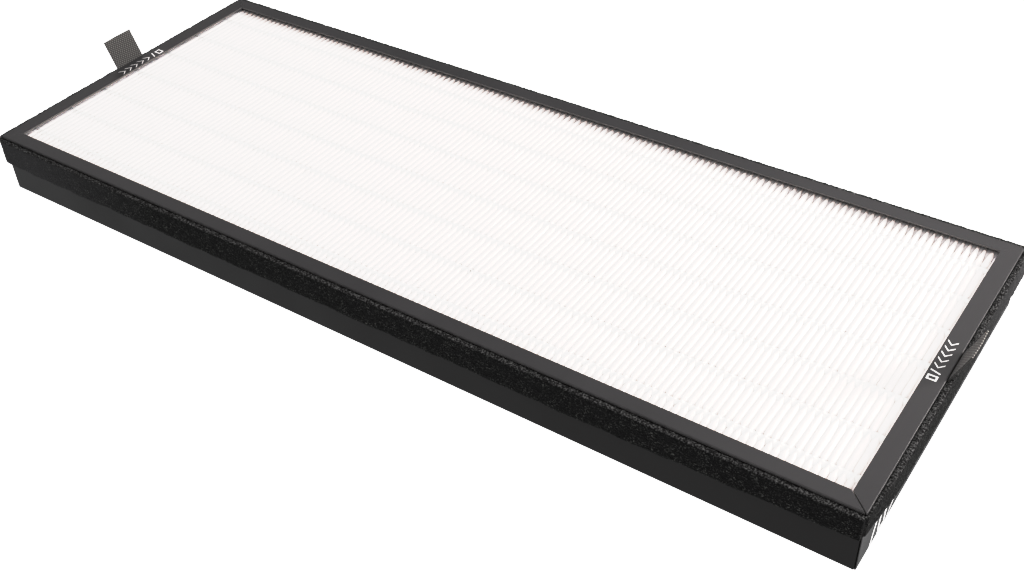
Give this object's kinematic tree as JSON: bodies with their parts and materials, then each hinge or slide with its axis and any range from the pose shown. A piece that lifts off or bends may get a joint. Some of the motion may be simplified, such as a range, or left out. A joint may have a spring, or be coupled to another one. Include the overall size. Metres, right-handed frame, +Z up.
{
  "type": "air purifier filter",
  "caption": "Flat rectangular panel filter: white folded filter sheet with rows of spacer glue in a black mitred frame, a foam sealing strip round the walls and a pull strap at each end.",
  "frame": {"origin": "middle of the frame's bottom, in the plane that the filter rests on", "axes": "+X along the length, +Y across to the rear rail, +Z up out of the face that shows in the picture"},
  "size_m": [0.5264, 0.199, 0.05],
  "materials": {
    "frame_board": "satin",
    "filter_sheet": "matte",
    "spacer_glue": "satin",
    "edge_glue": "satin",
    "foam": "matte",
    "strap": "matte"
  },
  "bodies": {
    "root": {"frame_front_rail": "frame_board", "frame_rear_rail": "frame_board", "frame_left_rail": "frame_board", "frame_right_rail": "frame_board", "pleated_media": "filter_sheet", "edge_glue_front": "edge_glue", "edge_glue_rear": "edge_glue", "edge_glue_left": "edge_glue", "edge_glue_right": "edge_glue", "gasket_strip": "foam", "pull_strap_left": "strap", "pull_strap_right": "strap", "spacer_bead_top_1": "spacer_glue", "spacer_bead_top_2": "spacer_glue", "spacer_bead_top_3": "spacer_glue", "spacer_bead_top_4": "spacer_glue", "spacer_bead_top_5": "spacer_glue", "spacer_bead_top_6": "spacer_glue", "spacer_bead_top_7": "spacer_glue", "spacer_bead_bottom_1": "spacer_glue", "spacer_bead_bottom_2": "spacer_glue", "spacer_bead_bottom_3": "spacer_glue", "spacer_bead_bottom_4": "spacer_glue", "spacer_bead_bottom_5": "spacer_glue", "spacer_bead_bottom_6": "spacer_glue", "spacer_bead_bottom_7": "spacer_glue"}
  },
  "joints": []
}
